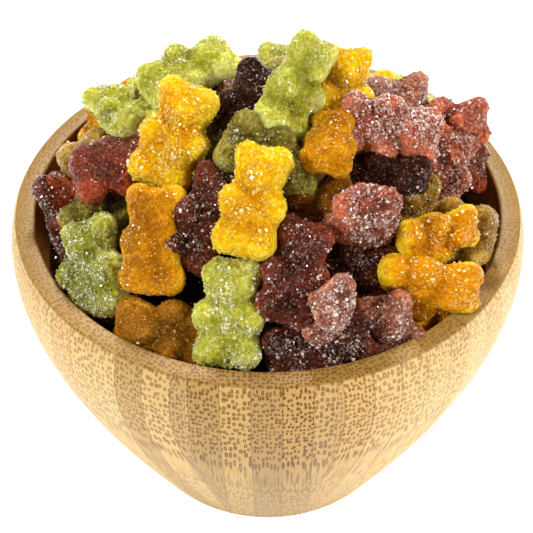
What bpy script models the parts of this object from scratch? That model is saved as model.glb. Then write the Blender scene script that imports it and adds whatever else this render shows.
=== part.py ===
"""A turned bamboo bowl heaped with sugared gummy bears, at real size.

Metres, +Z up. The origin is the middle of the bowl's flat foot. Heights in the
list of gummy bears are counted from the rim of the bowl.
"""

import math

import bmesh
import bpy
from mathutils import Matrix, Vector

MM = 0.001

# Bowl, in millimetres
RIM_RADIUS = 60.0
RIM_WIDTH = 4.7
BOWL_HEIGHT = 80.0
BELLY_PULL = 66.7
WAIST_PULL = 55.3
FOOT_RADIUS = 36.0
FLOOR_THICKNESS = 9.0
RIM_ROUNDING = 0.6
OUTER_STEPS = 13
INNER_STEPS = 8
TURN_STEPS = 64

# Heap, in millimetres
CORE_TOP = 23.0
CORE_EDGE_RADIUS = 49.0
CORE_EDGE_DROP = 11.0
CORE_WALL_GAP = 2.0
CORE_STEPS = 8
HEAP_GAP = 0.3
HEAP_VOXEL = 1.4
HEAP_DETAIL = 0.08
CUTTER_MARGIN = 12.0

# Lobes of one gummy bear 24 mm tall: centre, radii and whether the other side has one too.
# X runs across the bear, Y from its feet to its head and Z from its back to its belly.
BEAR_MIDDLE = Vector((0.0, 0.0, 5.8))
LOBES = {
    "trunk": ((0.0, -2.8, 5.0), (6.2, 8.2, 5.3), False),
    "head": ((0.0, 6.2, 5.2), (6.3, 5.2, 5.0), False),
    "muzzle": ((0.0, 5.0, 9.2), (2.6, 2.1, 2.1), False),
    "ear": ((4.2, 9.2, 4.6), (3.1, 3.0, 3.1), True),
    "paw": ((5.2, -0.8, 6.8), (3.2, 3.4, 3.6), True),
    "leg": ((4.4, -8.6, 6.2), (3.6, 3.6, 4.7), True),
}

# Each gummy bear: its middle (x, y, height over the rim) in millimetres, then in degrees the
# way its head points seen from above (0 to +Y, 90 to +X), the head's rise and the turn about
# its own length (0 is belly up), and its size against the 24 mm bear.
BEARS = (
    # The slope at the front, from the left to the right
    (-39, -29, 2, -10, 50, -20, 1.02),
    (-22, -43, -2, -85, 10, -40, 1.00),
    (-25, -30, 14, 5, 45, 150, 0.97),
    (-8, -42, 4, 0, 50, 0, 1.00),
    (-13, -27, 17, 35, 40, 30, 0.97),
    (-4, -29, 24, 15, 50, 15, 1.02),
    (6, -38, 12, 20, 45, 15, 0.95),
    (8, -47, -1, 75, 15, 40, 0.97),
    (13, -44, 5, 175, 70, 60, 0.92),
    (27, -44, -4, -50, 70, -45, 0.92),
    (20, -30, 17, 180, 65, 5, 1.00),
    (33, -35, 7, -80, 0, -45, 1.00),
    (35, -27, 11, 100, 0, 90, 0.93),
    (40, -18, 6, -75, 0, -50, 0.93),
    # Between and under those
    (-33, -33, -4, 45, 30, 35, 0.95),
    (-37, -15, 7, -70, 30, 20, 1.00),
    (-44, -12, -1, 150, -45, 15, 0.93),
    (-15, -13, 18, 15, 50, 15, 1.00),
    (10, -24, 15, 70, 25, 45, 0.95),
    (18, -32, 5, 95, 5, 45, 1.00),
    (19, -42, -2, 70, 25, 40, 0.95),
    (31, -20, 10, 15, 50, 5, 0.95),
    (34, -34, -2, 100, 0, 45, 0.93),
    # The top and both sides
    (-45, -4, 3, -115, 30, -60, 0.92),
    (-32, -12, 18, -110, -15, 75, 1.00),
    (-20, -11, 27, 30, 45, 25, 1.00),
    (-38, 6, 8, 65, 15, 50, 0.92),
    (-35, 3, 18, 15, 65, 20, 0.93),
    (-15, 5, 25, -20, 60, 30, 1.00),
    (-5, -3, 28, 40, 45, 30, 0.93),
    (1, -17, 25, 110, -20, 45, 1.00),
    (8, -4, 34, 45, 45, 80, 1.00),
    (14, -9, 30, 20, 50, -170, 0.92),
    (25, -15, 17, 95, 5, 50, 0.97),
    (25, -7, 26, 100, -5, 50, 1.00),
    (37, -3, 12, 140, -40, 35, 0.97),
    (41, 5, 13, 105, 20, 55, 0.93),
    # The slope at the back
    (-27, 11, 13, 15, 50, 20, 0.93),
    (-40, 20, 3, 25, 70, 30, 0.90),
    (-33, 29, 5, 80, 5, 55, 0.92),
    (-24, 24, 9, -65, 50, -45, 0.93),
    (-4, 24, 14, 85, 5, 55, 0.92),
    (18, 13, 21, -25, 60, -25, 0.93),
    (22, 15, 15, 75, 25, 50, 0.90),
    (28, 12, 17, 90, 10, 55, 0.95),
    (-17, 36, 5, 110, -10, 20, 0.95),
    (2, 37, 7, 200, -15, 15, 0.97),
    (18, 32, 7, 60, 5, -25, 0.95),
    (33, 26, 4, 320, 10, 30, 0.95),
    (38, 20, 1, 170, -30, 20, 0.93),
    (-26, 41, -4, 40, 20, -20, 0.95),
    (-6, 47, -3, 265, 10, 30, 0.93),
    (14, 45, -3, 100, -15, -30, 0.95),
    (32, 37, -4, 215, -35, 10, 0.95),
    (2, 10, 23, 160, -30, 10, 0.93),
    (-10, 15, 19, 250, -10, 30, 0.93),
    (11, 24, 13, 100, 0, -30, 0.93),
    (-17, 14, 18, 215, -30, -10, 0.93),
    (10, 4, 23, 60, 15, 40, 0.90),
    (-27, 0, 14, 330, 30, 20, 0.93),
)


def clear_scene():
    """Take every object out of the open scene."""
    for thing in list(bpy.data.objects):
        bpy.data.objects.remove(thing, do_unlink=True)


def new_collection(name):
    """A collection linked to the scene."""
    collection = bpy.data.collections.new(name)
    bpy.context.scene.collection.children.link(collection)
    return collection


def make_material(name, colour, roughness):
    """A plain Principled material."""
    material = bpy.data.materials.new(name)
    material.use_nodes = True
    shader = material.node_tree.nodes["Principled BSDF"]
    shader.inputs["Base Color"].default_value = (*colour, 1.0)
    shader.inputs["Roughness"].default_value = roughness
    shader.inputs["Metallic"].default_value = 0.0
    return material


def bezier(controls, steps):
    """Points of the Bezier curve with these control points, ends included."""
    degree = len(controls) - 1
    points = []
    for step in range(steps + 1):
        t = step / steps
        weights = [math.comb(degree, k) * t**k * (1 - t) ** (degree - k) for k in range(degree + 1)]
        radius = sum(weight * control[0] for weight, control in zip(weights, controls))
        height = sum(weight * control[1] for weight, control in zip(weights, controls))
        points.append((radius, height))
    return points


def outer_wall():
    """The outside from the rim down to the foot: a full belly that runs in to a narrow foot."""
    controls = (
        (RIM_RADIUS, BOWL_HEIGHT),
        (BELLY_PULL, 0.8 * BOWL_HEIGHT),
        (WAIST_PULL, 0.46 * BOWL_HEIGHT),
        (FOOT_RADIUS - 0.3, 0.0),
        (FOOT_RADIUS, 0.0),
    )
    return bezier(controls, OUTER_STEPS)


def inner_wall(gap=0.0):
    """The inside from the middle of its floor up to the rim, drawn in by a gap."""
    controls = (
        (0.0, FLOOR_THICKNESS + gap),
        (0.62 * RIM_RADIUS - gap, FLOOR_THICKNESS + gap),
        (0.8 * RIM_RADIUS - gap, 0.5 * BOWL_HEIGHT),
        (BELLY_PULL - RIM_WIDTH - 1.2 - gap, 0.8 * BOWL_HEIGHT),
        (RIM_RADIUS - RIM_WIDTH - gap, BOWL_HEIGHT),
    )
    return bezier(controls, INNER_STEPS)


def turned_object(name, profile, collection):
    """A solid turned about Z from a profile in millimetres that starts and ends on the axis."""
    mesh = bpy.data.meshes.new(name)
    corners = [(radius * MM, 0.0, height * MM) for radius, height in profile]
    mesh.from_pydata(corners, [(k, k + 1) for k in range(len(corners) - 1)], [])
    turned = bpy.data.objects.new(name, mesh)
    collection.objects.link(turned)
    screw = turned.modifiers.new("turn", "SCREW")
    screw.axis = "Z"
    screw.steps = TURN_STEPS
    screw.render_steps = TURN_STEPS
    screw.use_merge_vertices = True
    screw.merge_threshold = 0.00001
    screw.use_smooth_shade = True
    return turned


def build_bowl(collection):
    """The bowl: a turned wall with a flat rim, whose two edges are eased, and a flat foot."""
    inner = inner_wall()
    outer = outer_wall()
    inner[-1] = (inner[-1][0], BOWL_HEIGHT - RIM_ROUNDING)
    outer[0] = (outer[0][0], BOWL_HEIGHT - RIM_ROUNDING)
    rim = [
        (RIM_RADIUS - RIM_WIDTH + RIM_ROUNDING, BOWL_HEIGHT),
        (RIM_RADIUS - RIM_ROUNDING, BOWL_HEIGHT),
    ]
    bowl = turned_object("bamboo_bowl", inner + rim + outer + [(0.0, 0.0)], collection)
    bowl.data.materials.append(make_material("bamboo", (0.62, 0.42, 0.20), 0.5))
    return bowl


def build_core(collection):
    """The body of the heap: a low dome over the packed sweets, which fill the bowl below it."""
    dome = []
    for step in range(CORE_STEPS):
        share = step / CORE_STEPS
        rise = CORE_TOP - (CORE_TOP + CORE_EDGE_DROP) * share**2
        dome.append((CORE_EDGE_RADIUS * share, BOWL_HEIGHT + rise))
    side = [
        point
        for point in reversed(inner_wall(CORE_WALL_GAP))
        if point[1] < BOWL_HEIGHT - CORE_EDGE_DROP - CORE_WALL_GAP
    ]
    return turned_object("heap_core", dome + side, collection)


def bear_axes(heading, rise, turn):
    """The turn that lays a bear down: its Y along the head's direction, its Z along the belly's."""
    facing = Matrix.Rotation(math.radians(-heading), 3, "Z")
    lifting = Matrix.Rotation(math.radians(rise), 3, "X")
    rolling = Matrix.Rotation(math.radians(turn), 3, "Y")
    return facing @ lifting @ rolling


def add_bear(bm, bear):
    """Add one gummy bear to the bmesh as overlapping ellipsoids, one for each lobe."""
    x, y, z, heading, rise, turn, size = bear
    axes = bear_axes(heading, rise, turn)
    middle = Vector((x, y, z + BOWL_HEIGHT))
    for centre, radii, mirrored in LOBES.values():
        for side in (1, -1) if mirrored else (1,):
            offset = Vector((side * centre[0], centre[1], centre[2])) - BEAR_MIDDLE
            place = Matrix.Translation((middle + axes @ offset * size) * MM)
            stretch = Matrix.Diagonal((*(Vector(radii) * size * MM), 1.0))
            bmesh.ops.create_icosphere(
                bm, subdivisions=2, radius=1.0, matrix=place @ axes.to_4x4() @ stretch
            )


def evaluated_mesh(thing):
    """A new mesh of the object as its modifiers leave it."""
    graph = bpy.context.evaluated_depsgraph_get()
    return bpy.data.meshes.new_from_object(thing.evaluated_get(graph))


def build_heap(collection, cutters):
    """The heap out to its uneven outline: bears and core melted together, clear of the bowl."""
    core = build_core(cutters)
    bm = bmesh.new()
    bm.from_mesh(evaluated_mesh(core))
    bpy.data.objects.remove(core, do_unlink=True)
    for bear in BEARS:
        add_bear(bm, bear)
    mesh = bpy.data.meshes.new("gummy_bear_heap")
    bm.to_mesh(mesh)
    bm.free()
    heap = bpy.data.objects.new("gummy_bear_heap", mesh)
    collection.objects.link(heap)
    melt = heap.modifiers.new("melt", "REMESH")
    melt.mode = "VOXEL"
    melt.voxel_size = HEAP_VOXEL * MM
    melt.use_smooth_shade = True
    thin = heap.modifiers.new("thin", "DECIMATE")
    thin.ratio = HEAP_DETAIL
    keep_clear = heap.modifiers.new("keep_clear", "BOOLEAN")
    keep_clear.operation = "DIFFERENCE"
    keep_clear.solver = "EXACT"
    keep_clear.object = build_clearance(cutters)
    heap.data.materials.append(make_material("sugared_jelly", (0.55, 0.30, 0.06), 0.5))
    return heap


def build_clearance(cutters):
    """The cutter that keeps the heap off the bowl: the bowl's wall grown inwards and upwards."""
    far = RIM_RADIUS + CUTTER_MARGIN
    profile = inner_wall(HEAP_GAP)
    profile[-1] = (profile[-1][0], BOWL_HEIGHT + HEAP_GAP)
    profile += [(far, BOWL_HEIGHT + HEAP_GAP), (far, -CUTTER_MARGIN), (0.0, -CUTTER_MARGIN)]
    clearance = turned_object("wall_clearance", profile, cutters)
    clearance.hide_render = True
    clearance.display_type = "WIRE"
    return clearance


def main():
    clear_scene()
    collection = new_collection("gummy_bears_in_bowl")
    cutters = new_collection("cutters")
    build_bowl(collection)
    build_heap(collection, cutters)


main()
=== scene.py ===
"""A turned bamboo bowl heaped with sugared gummy bears, with the finish of every surface.

The classes hold their sizes in millimetres, and a mesh is turned to metres where it is made.
The origin is the middle of the bowl's foot, +Z is up and the front is at -Y. An azimuth is
counted in degrees from the front towards +X.
"""

import itertools
import logging
import math
from dataclasses import dataclass, field
from enum import Enum
from typing import Any, Sequence

import bpy
import numpy as np
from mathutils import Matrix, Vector


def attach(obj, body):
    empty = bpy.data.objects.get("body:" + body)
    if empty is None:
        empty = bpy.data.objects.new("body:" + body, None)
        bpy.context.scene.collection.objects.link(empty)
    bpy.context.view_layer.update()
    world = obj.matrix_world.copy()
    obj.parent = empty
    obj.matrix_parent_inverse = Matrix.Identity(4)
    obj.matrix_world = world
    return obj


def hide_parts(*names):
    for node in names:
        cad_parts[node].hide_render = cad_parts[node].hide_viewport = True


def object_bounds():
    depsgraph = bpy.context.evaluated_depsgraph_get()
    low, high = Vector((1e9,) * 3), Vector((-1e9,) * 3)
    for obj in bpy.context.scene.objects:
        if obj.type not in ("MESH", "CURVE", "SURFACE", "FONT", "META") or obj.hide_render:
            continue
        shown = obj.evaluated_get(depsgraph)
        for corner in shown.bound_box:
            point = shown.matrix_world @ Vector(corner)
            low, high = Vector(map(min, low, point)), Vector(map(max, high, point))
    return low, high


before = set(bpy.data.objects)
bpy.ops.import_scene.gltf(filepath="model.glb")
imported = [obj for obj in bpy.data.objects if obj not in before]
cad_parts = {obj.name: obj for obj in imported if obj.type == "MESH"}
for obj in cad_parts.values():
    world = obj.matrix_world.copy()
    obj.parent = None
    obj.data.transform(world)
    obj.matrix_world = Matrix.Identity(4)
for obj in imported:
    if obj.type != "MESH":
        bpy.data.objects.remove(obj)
CAD_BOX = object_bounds()

MM = 0.001
LOG = logging.getLogger("gummy_bears")

Colour = tuple[float, float, float]


# ---------------------------------------------------------------- numbers and noise


def screen(colour: Colour) -> Colour:
    """Linear light for a colour given as it looks on a screen.

    Args:
        colour: Red, green and blue from 0 to 255.

    Returns:
        The same colour in linear light, from 0 to 1.
    """
    shares = [channel / 255 for channel in colour]
    return tuple(s / 12.92 if s <= 0.04045 else ((s + 0.055) / 1.055) ** 2.4 for s in shares)


def hashed(cells: np.ndarray, seed: int) -> np.ndarray:
    """A fixed random number from 0 to 1 for every whole-numbered cell.

    Args:
        cells: Whole numbers, with the three coordinates of a cell along the last axis.
        seed: Picks one of many such patterns.

    Returns:
        One number a cell.
    """
    keys = cells.astype(np.int64).astype(np.uint32)
    mixed = keys[..., 0] * np.uint32(73856093)
    mixed ^= keys[..., 1] * np.uint32(19349663)
    mixed ^= keys[..., 2] * np.uint32(83492791)
    mixed ^= np.uint32((seed * 2654435761) & 0xFFFFFFFF)
    mixed ^= mixed >> np.uint32(16)
    mixed *= np.uint32(0x7FEB352D)
    mixed ^= mixed >> np.uint32(15)
    mixed *= np.uint32(0x846CA68B)
    mixed ^= mixed >> np.uint32(16)
    return mixed / 2.0**32


def soft_noise(points: np.ndarray, cell: float, seed: int) -> np.ndarray:
    """Smooth noise from -1 to 1: random lattice values blended with smoothstep weights.

    Args:
        points: Places, one a row.
        cell: The lattice's spacing, in the unit of the places.
        seed: Picks the pattern.

    Returns:
        One value a place.
    """
    scaled = points / cell
    base = np.floor(scaled)
    part = scaled - base
    part = part * part * (3 - 2 * part)
    total = np.zeros(len(points))
    for corner in itertools.product((0, 1), repeat=3):
        weight = np.prod(np.where(corner, part, 1 - part), axis=1)
        total += weight * hashed(base + corner, seed)
    return 2 * total - 1


def grains(points: np.ndarray, cell: float, seed: int) -> np.ndarray:
    """Rounded grains, about one a cell: one less the distance to the nearest scattered point.

    Args:
        points: Places, one a row.
        cell: The grains' spacing, in the unit of the places.
        seed: Picks the pattern.

    Returns:
        About 1 on top of a grain and about 0 in the creases between grains.
    """
    scaled = points / cell
    base = np.floor(scaled)
    nearest = np.full(len(points), np.inf)
    for step in itertools.product((-1, 0, 1), repeat=3):
        home = base + step
        spot = home + np.stack([hashed(home, seed + axis) for axis in range(3)], axis=1)
        nearest = np.minimum(nearest, ((scaled - spot) ** 2).sum(axis=1))
    return 1 - np.sqrt(nearest)


def bezier(controls: Sequence[tuple[float, float]], steps: int) -> np.ndarray:
    """Points of the Bezier curve with these control points, both ends included.

    Args:
        controls: Radius and height of each control point.
        steps: Number of stretches that the curve is cut into.

    Returns:
        Radius and height of each point, one a row.
    """
    degree = len(controls) - 1
    t = np.linspace(0.0, 1.0, steps + 1)[:, None]
    powers = np.arange(degree + 1)
    ways = np.array([math.comb(degree, power) for power in powers])
    weights = ways * t**powers * (1 - t) ** (degree - powers)
    return weights @ np.array(controls, float)


def rounded_corner(middle: tuple[float, float], radius: float, start: float, steps: int) -> np.ndarray:
    """A quarter circle that turns clockwise.

    Args:
        middle: Radius and height of its middle.
        radius: The circle's own radius.
        start: Angle of its first point in degrees, counted from outwards to up.
        steps: Number of stretches that it is cut into.

    Returns:
        Radius and height of each point, one a row.
    """
    angles = np.radians(np.linspace(start, start - 90.0, steps + 1))
    return np.array(middle) + radius * np.stack([np.cos(angles), np.sin(angles)], axis=1)


def turned_grid(profile: np.ndarray, azimuth: np.ndarray) -> np.ndarray:
    """A profile turned about +Z, as a grid of rows along the profile and columns by azimuth.

    The point in a row and a column lies at the row's radius and height, turned from the
    front towards +X by the column's azimuth.

    Args:
        profile: Radius and height of each row.
        azimuth: Azimuth of each column in radians.

    Returns:
        The three coordinates of each point of the grid.
    """
    grid = np.empty((len(profile), len(azimuth), 3))
    grid[..., 0] = profile[:, :1] * np.sin(azimuth)
    grid[..., 1] = profile[:, :1] * -np.cos(azimuth)
    grid[..., 2] = profile[:, 1:]
    return grid


# ---------------------------------------------------------------- meshes and materials


def make_piece(
    name: str,
    points: np.ndarray,
    faces: Sequence[np.ndarray],
    material: bpy.types.Material,
    node: str,
) -> bpy.types.Object:
    """A smooth mesh object at the origin that stands for a solid of the frame.

    Args:
        name: The piece's name.
        points: Corners in millimetres, one a row.
        faces: Arrays of corner numbers, each array with one kind of face.
        material: Its finish.
        node: The solid that the piece stands for.

    Returns:
        The new object.
    """
    mesh = bpy.data.meshes.new(name)
    corners = np.concatenate([group.ravel() for group in faces]).astype(np.int32)
    sides = np.concatenate([np.full(len(group), group.shape[1]) for group in faces])
    mesh.vertices.add(len(points))
    mesh.vertices.foreach_set("co", (points * MM).astype(np.float32).ravel())
    mesh.loops.add(len(corners))
    mesh.loops.foreach_set("vertex_index", corners)
    mesh.polygons.add(len(sides))
    mesh.polygons.foreach_set("loop_start", (np.cumsum(sides) - sides).astype(np.int32))
    mesh.update(calc_edges=True)
    mesh.shade_smooth()
    mesh.materials.append(material)
    piece = bpy.data.objects.new(name, mesh)
    bpy.context.scene.collection.objects.link(piece)
    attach(piece, "root")
    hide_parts(node)
    return piece


def paint(piece: bpy.types.Object, name: str, values: np.ndarray, domain: str = "POINT") -> None:
    """Give the mesh a named attribute: numbers, or colours where each value has four channels.

    Args:
        piece: The object whose mesh is painted.
        name: The attribute's name.
        values: One value for each element of the domain.
        domain: What the values lie on, such as POINT or FACE.
    """
    kind, key = ("FLOAT_COLOR", "color") if values.ndim == 2 else ("FLOAT", "value")
    layer = piece.data.attributes.new(name, kind, domain)
    layer.data.foreach_set(key, values.astype(np.float32).ravel())


class Finish:
    """A Principled material whose nodes are made by short calls."""

    def __init__(self, name: str) -> None:
        """Start the material with only its Principled shader.

        Args:
            name: The material's name.
        """
        self.material = bpy.data.materials.new(name)
        self.material.use_nodes = True
        self.tree = self.material.node_tree
        self.shader = self.tree.nodes["Principled BSDF"]

    def node(self, kind: str, inputs: dict[Any, Any], **settings: Any) -> bpy.types.Node:
        """Add a node.

        Args:
            kind: The node's type.
            inputs: For each input's name or number, its value or the socket that feeds it.
            settings: Properties of the node.

        Returns:
            The new node.
        """
        made = self.tree.nodes.new(kind)
        for key, value in settings.items():
            setattr(made, key, value)
        for key, value in inputs.items():
            self.feed(made.inputs[key], value)
        return made

    def feed(self, socket: bpy.types.NodeSocket, value: Any) -> None:
        """Link a socket to an input, or set the input to a value.

        Args:
            socket: The input.
            value: What feeds it: an output socket, a number, or a tuple.
        """
        if isinstance(value, bpy.types.NodeSocket):
            self.tree.links.new(value, socket)
        elif isinstance(value, tuple) and len(value) == 3 and socket.type == "RGBA":
            socket.default_value = (*value, 1.0)
        else:
            socket.default_value = value

    def set(self, name: str, value: Any) -> None:
        """Feed an input of the Principled shader."""
        self.feed(self.shader.inputs[name], value)

    def math(self, operation: str, first: Any, second: Any = 0.0) -> bpy.types.NodeSocket:
        """One arithmetic step."""
        return self.node("ShaderNodeMath", {0: first, 1: second}, operation=operation).outputs[0]

    def times(self, first: Any, second: Any) -> bpy.types.NodeSocket:
        """The product of two numbers."""
        return self.math("MULTIPLY", first, second)

    def vector(self, operation: str, first: Any, second: Any) -> bpy.types.NodeSocket:
        """One step of vector arithmetic."""
        return self.node("ShaderNodeVectorMath", {0: first, 1: second}, operation=operation).outputs[0]

    def step(self, value: Any, low: Any, high: Any, out: tuple[float, float] = (0.0, 1.0)) -> Any:
        """A smooth step of a value between two limits.

        Args:
            value: The value, or its socket.
            low: Where the step starts.
            high: Where the step ends.
            out: What it gives at and before its start, and at and past its end.

        Returns:
            The socket of the stepped value.
        """
        inputs = {0: value, 1: low, 2: high, 3: out[0], 4: out[1]}
        made = self.node("ShaderNodeMapRange", inputs, interpolation_type="SMOOTHSTEP")
        return made.outputs[0]

    def mix(self, share: Any, first: Any, second: Any, blend: str = "MIX") -> bpy.types.NodeSocket:
        """A blend of two colours.

        Args:
            share: How much of the second colour is laid over the first, from 0 to 1.
            first: The colour underneath.
            second: The colour on top.
            blend: How the second is laid on.

        Returns:
            The socket of the blended colour.
        """
        inputs = {0: share, 6: first, 7: second}
        made = self.node("ShaderNodeMix", inputs, data_type="RGBA", blend_type=blend)
        return made.outputs[2]

    def table(self, share: Any, colours: Sequence[Colour]) -> bpy.types.NodeSocket:
        """One of several colours: the range from 0 to 1 is cut into as many equal steps.

        Args:
            share: The number that picks the step.
            colours: The colour of each step.

        Returns:
            The socket of the picked colour.
        """
        made = self.node("ShaderNodeValToRGB", {0: share})
        ramp = made.color_ramp
        ramp.interpolation = "CONSTANT"
        for number, colour in enumerate(colours):
            stop = ramp.elements[0] if number == 0 else ramp.elements.new(number / len(colours))
            stop.position = number / len(colours)
            stop.color = (*colour, 1.0)
        ramp.elements.remove(ramp.elements[-1])
        return made.outputs[0]

    def place(self) -> bpy.types.NodeSocket:
        """Object coordinates, in metres."""
        return self.node("ShaderNodeTexCoord", {}).outputs["Object"]

    def noise(self, where: Any, size: float, detail: float = 2.0, swirl: float = 0.0) -> bpy.types.NodeSocket:
        """Cloudy noise about 0.5 whose largest features have the given size in metres."""
        inputs = {"Vector": where, "Scale": 1 / size, "Detail": detail, "Distortion": swirl}
        return self.node("ShaderNodeTexNoise", inputs).outputs[0]

    def cells(self, where: Any, size: float, dimensions: str = "3D", jitter: float = 1.0) -> bpy.types.Node:
        """Scattered cells of the given size in metres: Distance to the middle, and a random Color."""
        inputs = {"Vector": where, "Scale": 1 / size, "Randomness": jitter}
        return self.node("ShaderNodeTexVoronoi", inputs, voronoi_dimensions=dimensions)

    def attribute(self, name: str, output: str = "Fac") -> bpy.types.NodeSocket:
        """A named attribute of the mesh."""
        return self.node("ShaderNodeAttribute", {}, attribute_name=name).outputs[output]

    def bump(self, height: Any, depth: float, strength: float, under: Any = None) -> Any:
        """A relief, laid over another if one is given.

        Args:
            height: Its height from 0 to 1, or in metres where the depth is 1.
            depth: What a height of 1 stands for in metres.
            strength: How fully it tilts the light, from 0 to 1.
            under: The relief that it lies on.

        Returns:
            The socket of the tilted normal.
        """
        inputs = {"Height": height, "Distance": depth, "Strength": strength}
        if under is not None:
            inputs["Normal"] = under
        return self.node("ShaderNodeBump", inputs).outputs[0]


# ---------------------------------------------------------------- the bowl


@dataclass(frozen=True)
class Strip:
    """The look of one strip that the staves are laminated from.

    Attributes:
        tone: Colour of the wood between its fibre bundles, as on a screen.
        bundles: How dark its fibre bundles are, from 0 to 1.
        packed: 1 if they are closely packed, 0 if loosely.
        filled: How far they are filled spots rather than rings, from 0 to 1.
    """

    tone: Colour
    bundles: float
    packed: float
    filled: float


STRIPS = (
    Strip((255, 240, 212), 0.80, 0.0, 0.5),
    Strip((222, 202, 164), 1.00, 1.0, 0.5),
    Strip((250, 232, 196), 1.00, 0.0, 0.3),
    Strip((224, 204, 172), 1.00, 1.0, 0.4),
    Strip((240, 216, 178), 1.00, 1.0, 0.9),
    Strip((250, 232, 208), 0.90, 0.0, 0.3),
    Strip((255, 240, 212), 0.80, 0.0, 0.6),
    Strip((255, 242, 218), 0.75, 1.0, 0.5),
    Strip((252, 234, 204), 0.85, 0.0, 0.4),
    Strip((255, 242, 214), 0.75, 0.0, 0.5),
    Strip((252, 230, 200), 0.80, 1.0, 0.4),
    Strip((255, 238, 204), 0.85, 0.0, 0.6),
)


@dataclass(frozen=True)
class Stave:
    """One wedge of bamboo: where it starts, its tone and how its strips are set off.

    Attributes:
        start: Azimuth of its left seam, in degrees.
        tone: Colour of the plain wood between the fibre bundles, as on a screen.
        shift: Sideways offset of its strips, in millimetres.
        bundles: How dark its fibre bundles are, from 0 to 1.
    """

    start: float
    tone: Colour
    shift: float
    bundles: float


STAVES = (
    Stave(-16.3, (224, 194, 130), 2.2, 1.0),
    Stave(13.8, (248, 218, 154), 2.0, 0.8),
    Stave(45.2, (250, 220, 162), 4.5, 0.6),
    Stave(80.0, (248, 218, 158), 1.0, 0.4),
    Stave(110.0, (238, 206, 144), 3.3, 0.7),
    Stave(140.0, (248, 216, 154), 5.1, 0.6),
    Stave(170.0, (240, 206, 144), 0.7, 0.8),
    Stave(201.0, (250, 218, 158), 2.9, 0.5),
    Stave(232.0, (244, 210, 150), 4.0, 0.6),
    Stave(253.0, (238, 206, 146), 1.9, 0.6),
    Stave(273.0, (236, 208, 148), 5.6, 0.6),
    Stave(307.0, (238, 210, 150), 3.8, 0.8),
)


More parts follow.
